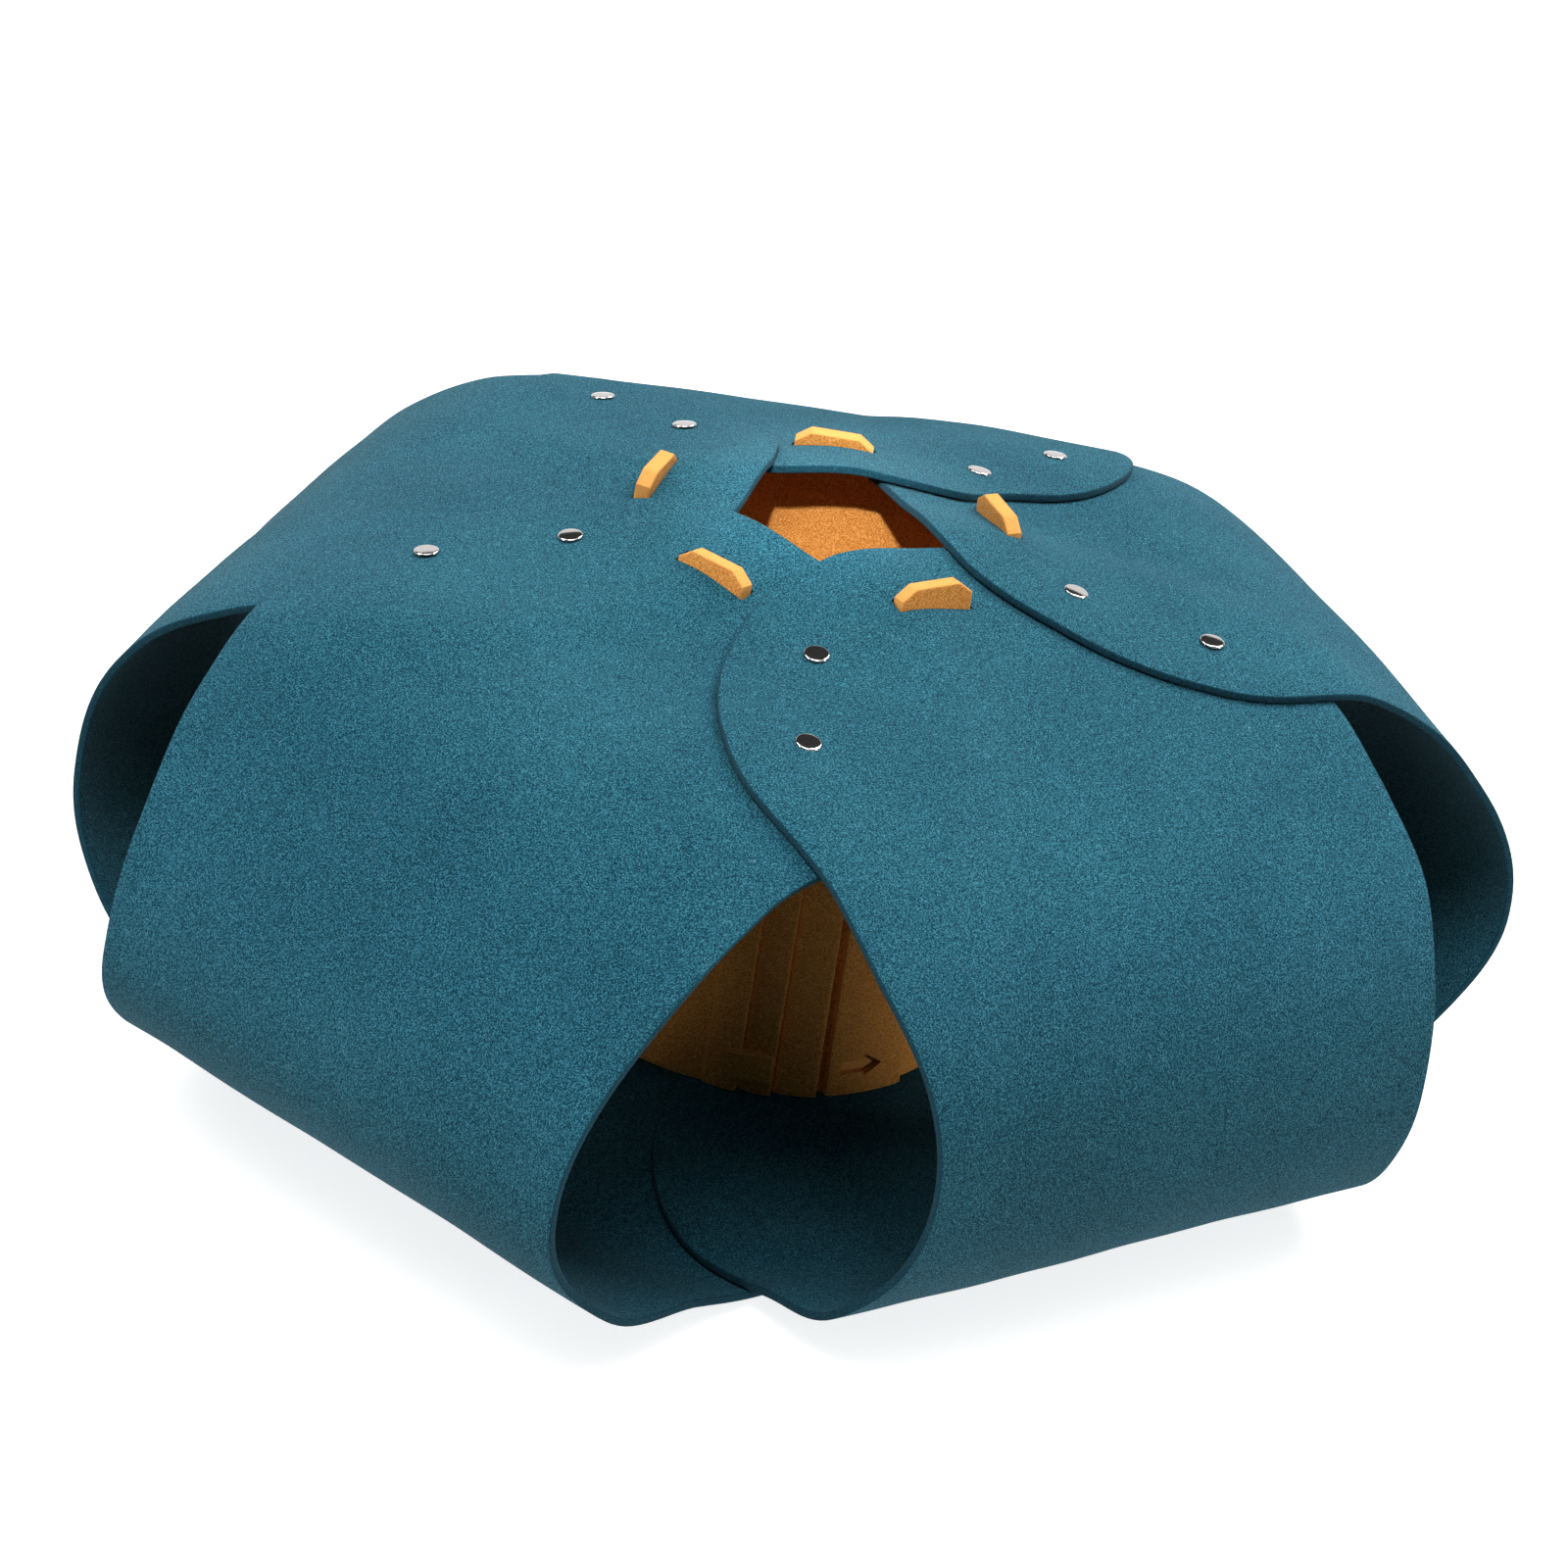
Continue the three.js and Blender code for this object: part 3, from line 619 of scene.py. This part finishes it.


# Pressed wool felt: fine matted grain, faint clouds, a few long fibres, and painted light and shade on the
# cut edges
def felt_finish(name, deep, body, pale, fibre, edge):
    finish = Finish(name, {"Sheen Weight": 0.04, "Sheen Roughness": 0.5, "Specular IOR Level": 0.08})
    grain = finish.noise(1400, 3, 0.75)
    mottle = finish.noise(900, 3, 0.7, 0.4)
    cloud = finish.noise(11, 2)
    weave = grain * 0.85 + mottle * 0.15 + (cloud - 0.5) * 0.05
    colour = finish.mix(finish.between(weave, 0.42, 0.5), deep, body)
    colour = finish.mix(finish.between(weave, 0.5, 0.6), colour, pale)
    curl = finish.noise(120, 2, 0.5, 0.5)
    thread = 1 - finish.between(abs(curl - 0.5), 0.0015, 0.006)
    patch = finish.between(finish.noise(75, 1), 0.6, 0.68)
    colour = finish.mix(thread * patch * 0.4, colour, fibre)
    # Painted light and shade on the cut edges: a set tone stands in for how light falls on them
    cut = finish.node("ShaderNodeAttribute", {"attribute_name": "cut_edge"}).out("Fac")
    colour = finish.mix(cut * 0.75, colour, edge)
    height = grain * 0.6 + mottle * 0.4 + thread * patch * 0.15
    return finish.finish(colour, 0.93 + 0.05 * mottle, height, 0.0006)


# Painted shade on the teal cut edges, darker than the faces, and a painted highlight on the orange cut
# edges, lighter than the faces
teal_felt = felt_finish("teal_pressed_felt", linear(4, 36, 48), linear(20, 74, 90), linear(62, 124, 142),
                        linear(104, 158, 172), linear(15, 52, 65))
orange_felt = felt_finish("orange_pressed_felt", linear(178, 106, 40), linear(212, 140, 64),
                          linear(234, 170, 94), linear(238, 194, 136), linear(226, 160, 86))


# Bright plate with a faint haze
def plate_finish():
    finish = Finish("snap_plate", {"Metallic": 1.0, "Specular IOR Level": 0.5})
    haze = finish.noise(500, 3, 0.6)
    colour = finish.mix(haze, linear(206, 200, 198), linear(226, 222, 220))
    return finish.finish(colour, 0.04 + 0.06 * haze, haze, 0.000004)


snap_plate = plate_finish()


def add_material(made, material):
    made.data.materials.clear()
    made.data.materials.append(material)


# Panels
panel_pieces = {}
tab_slots = [tab_shell(panel, SLOT_CLEARANCE) for panel in PANELS]
for panel in PANELS:
    made = make_mesh("felt_panel_" + panel["name"], [panel_shell(panel)])
    posts = [post_cutter(*snap_spots[holder["name"], name]) for holder in PANELS for name in SNAPS
             if holder is panel or holder["under"] is panel]
    for cutter in tab_slots + posts:
        cut_away(made, cutter)
    shade(made, FELT_SHARP_ANGLE)
    add_material(made, teal_felt)
    panel_pieces[panel["name"]] = made


def wall_radius(azimuth, height):
    rise = (height - WALL_FOOT) / (WALL_TOP - WALL_FOOT)
    plain = WALL_FOOT_RADIUS + (WALL_TOP_RADIUS - WALL_FOOT_RADIUS) * rise
    facing = np.stack([np.cos(azimuth), np.sin(azimuth), 0 * azimuth], axis=-1)
    nearest = np.min([np.arccos(np.clip(facing @ panel["out"], -1, 1)) for panel in PANELS], axis=0)
    flat = 1 / np.cos(np.minimum(nearest, WALL_FLAT_ANGLE))
    return plain * (1 + (flat - 1) * smooth(rise))


# Upright piece of the tube's wall between two turns and two heights, from its inner face out to
# how proud either edge stands
def wall_shell(turns, heights, inner, outer, columns, rows):
    low, high = math.radians(turns[0]), math.radians(turns[1])
    levels = np.linspace(heights[1] - CUT_ROUNDING, heights[0] + CUT_ROUNDING, rows + 1)
    trim = CUT_ROUNDING / WALL_TOP_RADIUS
    azimuth, height = np.meshgrid(np.linspace(low + trim, high - trim, columns + 1), levels)
    proud = np.linspace(outer[0], outer[1], columns + 1)
    radius = wall_radius(azimuth, height) + proud
    out = np.stack([np.cos(azimuth), np.sin(azimuth), 0 * azimuth], axis=-1)
    face = out * radius[..., None]
    face[..., 2] = height
    return felt_shell(face, out, np.broadcast_to(proud - inner, radius.shape)[..., None])


# Arrow-shaped cut in the widest pleat
def notch_cutter():
    length, height = NOTCH["length"], NOTCH["height"]
    shaft, head = NOTCH["shaft"], NOTCH["head"]
    points = [(-length / 2, -shaft / 2), (length / 2 - head, -shaft / 2), (length / 2 - head, -height / 2),
              (length / 2, 0), (length / 2 - head, height / 2), (length / 2 - head, shaft / 2),
              (-length / 2, shaft / 2)]
    azimuth = math.radians(NOTCH["azimuth"])
    out = np.array([math.cos(azimuth), math.sin(azimuth), 0])
    side = np.array([-math.sin(azimuth), math.cos(azimuth), 0])
    middle = NOTCH["foot"] + height / 2
    near = float(wall_radius(np.array(azimuth), np.array(middle))) + NOTCH["clear"]
    ring = np.array([side * x + np.array([0, 0, middle + z]) for x, z in points])
    count = len(points)
    vertices = np.concatenate([ring + out * near, ring + out * (near + NOTCH["depth"])])
    fan = [(0, 1, 5), (0, 5, 6), (1, 2, 3), (1, 3, 5), (3, 4, 5)]
    faces = [(c, b, a) for a, b, c in fan] + [(count + a, count + b, count + c) for a, b, c in fan]
    for i in range(count):
        j = (i + 1) % count
        faces += [(i, j, count + j), (i, count + j, count + i)]
    return vertices, np.array(faces), np.ones(len(vertices))


def pleat_shell(start, end, first, last):
    columns = round(end - start)
    return wall_shell((start, end), (WALL_FOOT, PLEAT_TOP), -PLEAT_BITE, (first, last), columns, WALL_ROWS)


def joined(name, pieces):
    with bpy.context.temp_override(active_object=pieces[0], selected_editable_objects=pieces):
        bpy.ops.object.join()
    pieces[0].name = name
    pieces[0].data.name = name
    return pieces[0]


# The tube
wall_shells = [wall_shell(WALL_TURNS, (WALL_FOOT, WALL_TOP), -WALL, (0, 0), WALL_COLUMNS, WALL_ROWS)]
wall_shells += [pleat_shell(*pleat) for pleat in PLEATS[:-1]]
tongue_turns = (TONGUE["from"], TONGUE["to"])
tongue_heights = (TONGUE["foot"], TONGUE["foot"] + TONGUE["height"])
tongue_proud = (TONGUE["proud"], TONGUE["proud"])
wall_shells.append(wall_shell(tongue_turns, tongue_heights, -PLEAT_BITE, tongue_proud, TONGUE_COLUMNS,
                              TONGUE_ROWS))
wall_shells += [tab_shell(panel, 0) for panel in PANELS]
notched = make_mesh("notched_pleat", [pleat_shell(*PLEATS[-1])])
cut_away(notched, notch_cutter())
felt_tube = joined("felt_tube", [make_mesh("felt_tube", wall_shells), notched])
shade(felt_tube, FELT_SHARP_ANGLE)
add_material(felt_tube, orange_felt)


# Turned profile of a snap: back disc, post, and a low domed cap with a rolled rim
def snap_profile():
    foot = LAP_RISE + SNAP_AIR
    back = -FELT - BACK_AIR
    lowest = back - BACK_HEIGHT
    profile = [
        (0, lowest), (BACK_RADIUS - BACK_FOOT_RUN, lowest), (BACK_RADIUS, lowest + BACK_FOOT_RISE),
        (BACK_RADIUS, back - BACK_LIP_DROP), (BACK_RADIUS - BACK_LIP_RUN, back), (POST_RADIUS, back),
        (POST_RADIUS, foot), (CAP_RADIUS - CAP_FOOT_INSET, foot),
        (CAP_RADIUS - CAP_FOOT_STEP, foot + CAP_FOOT_STEP),
    ]
    for step in range(CAP_ROLL_STEPS + 1):
        turn = math.radians(CAP_ROLL_TURN * step / CAP_ROLL_STEPS)
        profile.append((CAP_RADIUS - CAP_ROLL * (1 - math.cos(turn)),
                        foot + 2 * CAP_FOOT_STEP + CAP_ROLL * math.sin(turn)))
    radius, height = profile[-1]
    for step in range(1, CAP_DOME_STEPS + 1):
        share = 1 - step / CAP_DOME_STEPS
        profile.append((radius * share, height + CAP_DOME * (1 - share * share)))
    return profile


def turned_snap():
    profile = snap_profile()
    vertices, faces = [], []
    rings = []
    for radius, height in profile:
        if radius == 0:
            rings.append([len(vertices)])
            vertices.append((0, 0, height * MM))
            continue
        rings.append(list(range(len(vertices), len(vertices) + CAP_SEGMENTS)))
        for step in range(CAP_SEGMENTS):
            turn = 2 * math.pi * step / CAP_SEGMENTS
            vertices.append((radius * math.cos(turn) * MM, radius * math.sin(turn) * MM, height * MM))
    for low, high in zip(rings[:-1], rings[1:]):
        for step in range(CAP_SEGMENTS):
            after = (step + 1) % CAP_SEGMENTS
            if len(low) == 1:
                faces.append((low[0], high[after], high[step]))
            elif len(high) == 1:
                faces.append((low[step], low[after], high[0]))
            else:
                faces.append((low[step], low[after], high[after], high[step]))
    mesh = bpy.data.meshes.new("turned_snap")
    mesh.from_pydata(vertices, [], faces)
    made = bpy.data.objects.new("turned_snap", mesh)
    bpy.context.collection.objects.link(made)
    shade(made, SNAP_SHARP_ANGLE)
    return made


# Geometry nodes: one turned snap at every point, standing along the point's own direction
def snap_tree():
    tree = bpy.data.node_groups.new("snaps_on_laps", "GeometryNodeTree")
    face = tree.interface
    face.new_socket("Geometry", in_out="INPUT", socket_type="NodeSocketGeometry")
    face.new_socket("Snap", in_out="INPUT", socket_type="NodeSocketObject")
    face.new_socket("Plate", in_out="INPUT", socket_type="NodeSocketMaterial")
    face.new_socket("Snap size", in_out="INPUT", socket_type="NodeSocketFloat")
    face.new_socket("Geometry", in_out="OUTPUT", socket_type="NodeSocketGeometry")
    nodes, links = tree.nodes, tree.links
    begin, end = nodes.new("NodeGroupInput"), nodes.new("NodeGroupOutput")
    points = nodes.new("GeometryNodeMeshToPoints")
    master = nodes.new("GeometryNodeObjectInfo")
    standing = nodes.new("GeometryNodeInputNamedAttribute")
    standing.data_type = "FLOAT_VECTOR"
    standing.inputs["Name"].default_value = "standing"
    align = nodes.new("FunctionNodeAlignRotationToVector")
    align.axis = "Z"
    place = nodes.new("GeometryNodeInstanceOnPoints")
    realize = nodes.new("GeometryNodeRealizeInstances")
    finish = nodes.new("GeometryNodeSetMaterial")
    links.new(begin.outputs["Geometry"], points.inputs["Mesh"])
    links.new(points.outputs["Points"], place.inputs["Points"])
    links.new(begin.outputs["Snap"], master.inputs["Object"])
    links.new(master.outputs["Geometry"], place.inputs["Instance"])
    links.new(standing.outputs["Attribute"], align.inputs["Vector"])
    links.new(align.outputs["Rotation"], place.inputs["Rotation"])
    links.new(begin.outputs["Snap size"], place.inputs["Scale"])
    links.new(place.outputs["Instances"], realize.inputs["Geometry"])
    links.new(realize.outputs["Geometry"], finish.inputs["Geometry"])
    links.new(begin.outputs["Plate"], finish.inputs["Material"])
    links.new(finish.outputs["Geometry"], end.inputs["Geometry"])
    return tree


def run_tree(name, source, tree, values):
    modifier = source.modifiers.new(name, "NODES")
    modifier.node_group = tree
    for item in tree.interface.items_tree:
        if item.in_out == "INPUT" and item.name in values:
            modifier[item.identifier] = values[item.name]
    made = bpy.data.objects.new(name, finished_mesh(source))
    bpy.context.collection.objects.link(made)
    return made


def make_snaps():
    spots = bpy.data.meshes.new("snap_spots")
    places = [(spot + RING_AXIS) * MM for spot, _ in snap_spots.values()]
    spots.from_pydata([tuple(place) for place in places], [], [])
    directions = np.concatenate([normal for _, normal in snap_spots.values()])
    spots.attributes.new("standing", "FLOAT_VECTOR", "POINT").data.foreach_set("vector", directions)
    source = bpy.data.objects.new("snap_spots", spots)
    bpy.context.collection.objects.link(source)
    master = turned_snap()
    made = run_tree("snap_fasteners", source, snap_tree(),
                    {"Snap": master, "Plate": snap_plate, "Snap size": 1.0})
    bpy.data.objects.remove(master)
    bpy.data.objects.remove(source)
    return made


snaps = make_snaps()


# Studio, in metres: soft lights as name, place, size and power, all aimed at the bed
FLOOR_HALF = 12.0
FLOOR_DROP = 0.0005
BACKDROP_RADIUS = 11.0
BACKDROP_RINGS = 24
WHITE = linear(255, 255, 255)
WALL_LIGHT = 0.9
BELOW_LIGHT = 0.9
LIGHT_AIM = (0, 0, 0.1)
SOFT_LIGHTS = [("key", (1.7, 1.4, 2.7), (1.8, 1.8), 115), ("top", (-0.3, -1.1, 3.1), (2.0, 1.6), 60),
               ("left", (-2.2, 0.2, 2.4), (1.6, 1.6), 34), ("low_right", (2.9, -0.9, 0.5), (0.6, 0.4), 24),
               ("low_left", (-2.7, -1.3, 0.5), (0.6, 0.4), 24)]
BEAM_PLACE = (-0.25, -1.62, 1.78)
BEAM_AIM = (-0.012, 0.05, 0.27)
BEAM_ANGLE = math.radians(3.5)
BEAM_BLEND = 0.6
BEAM_SOURCE = 0.04
BEAM_POWER = 350


# Plain pale floor, a little lit of itself
def make_floor():
    signs = [(-1, -1), (1, -1), (1, 1), (-1, 1)]
    corners = [(x * FLOOR_HALF, y * FLOOR_HALF, -FLOOR_DROP) for x, y in signs]
    mesh = bpy.data.meshes.new("floor")
    mesh.from_pydata(corners, [], [(0, 1, 2, 3)])
    floor = bpy.data.objects.new("floor", mesh)
    bpy.context.collection.objects.link(floor)
    finish = Finish("pale_floor", {"Base Color": linear(186, 186, 186), "Roughness": 0.9,
                                   "Specular IOR Level": 0.1, "Emission Color": WHITE,
                                   "Emission Strength": 0.8})
    add_material(floor, finish.material)
    floor.visible_diffuse = False


# White backdrop all round that only the camera sees
def make_backdrop():
    bpy.ops.mesh.primitive_uv_sphere_add(segments=2 * BACKDROP_RINGS, ring_count=BACKDROP_RINGS,
                                         radius=BACKDROP_RADIUS)
    backdrop = bpy.context.object
    backdrop.name = "backdrop"
    finish = Finish("white_backdrop", {"Base Color": WHITE, "Specular IOR Level": 0.0,
                                       "Emission Color": WHITE, "Emission Strength": 1.0})
    add_material(backdrop, finish.material)
    backdrop.visible_diffuse = False
    backdrop.visible_glossy = False
    backdrop.visible_transmission = False
    backdrop.visible_shadow = False


# Studio walls: pale behind the bed up to a dark stretch of ceiling, dim low down in front, and
# pale again below the floor's level
def make_world():
    world = bpy.data.worlds.new("studio")
    world.use_nodes = True
    nodes = Nodes(world.node_tree)
    facing = nodes.node("ShaderNodeTexCoord").out("Generated")
    split = nodes.node("ShaderNodeSeparateXYZ", {}, {0: facing})
    up, behind = split.out("Z"), split.out("Y")
    back = nodes.between(behind, 0.55, 0.8)
    ceiling = nodes.between(up, 0.4, 0.45) * (1 - nodes.between(up, 0.86, 0.94))
    ceiling = ceiling * nodes.between(behind, 0.1, 0.35)
    low_front = (1 - nodes.between(up, 0.5, 0.8)) * (1 - back)
    below = nodes.between(0 - up, 0.0, 0.06)
    walls = WALL_LIGHT * (1 - 0.95 * ceiling) * (1 - 0.97 * low_front) * (1 - below)
    background = world.node_tree.nodes["Background"]
    nodes.feed(background.inputs["Strength"], walls + BELOW_LIGHT * below)
    background.inputs["Color"].default_value = WHITE
    bpy.context.scene.world = world


def hang_light(data, place, aim):
    light = bpy.data.objects.new(data.name, data)
    light.location = place
    light.rotation_mode = "QUATERNION"
    light.rotation_quaternion = (Vector(place) - Vector(aim)).to_track_quat("Z", "Y")
    bpy.context.collection.objects.link(light)


# Narrow soft beam that reaches down into the middle
def make_beam():
    data = bpy.data.lights.new("beam", "SPOT")
    data.energy = BEAM_POWER
    data.spot_size = BEAM_ANGLE
    data.spot_blend = BEAM_BLEND
    data.shadow_soft_size = BEAM_SOURCE
    hang_light(data, BEAM_PLACE, BEAM_AIM)


def make_soft_lights():
    for name, place, size, power in SOFT_LIGHTS:
        data = bpy.data.lights.new(name, "AREA")
        data.shape = "RECTANGLE"
        data.size, data.size_y = size
        data.energy = power
        hang_light(data, place, LIGHT_AIM)


make_floor()
make_backdrop()
make_world()
make_beam()
make_soft_lights()
bpy.context.scene.view_settings.view_transform = "Standard"

# Each piece hangs from the root body in place of the CAD part it replaces, which is hidden
for panel in PANELS:
    piece = panel_pieces[panel["name"]]
    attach(piece, "root")
    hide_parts("panel_" + panel["name"])
    runs = np.linspace(0, PANEL_LENGTH, AREA_STEPS)
    area = np.mean(edge_across(panel, runs, 1) - edge_across(panel, runs, -1)) * PANEL_LENGTH * MM * MM

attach(felt_tube, "root")
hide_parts("liner_tube")

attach(snaps, "root")
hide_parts(*["snap_" + panel["name"] + "_" + name for panel in PANELS for name in SNAPS])
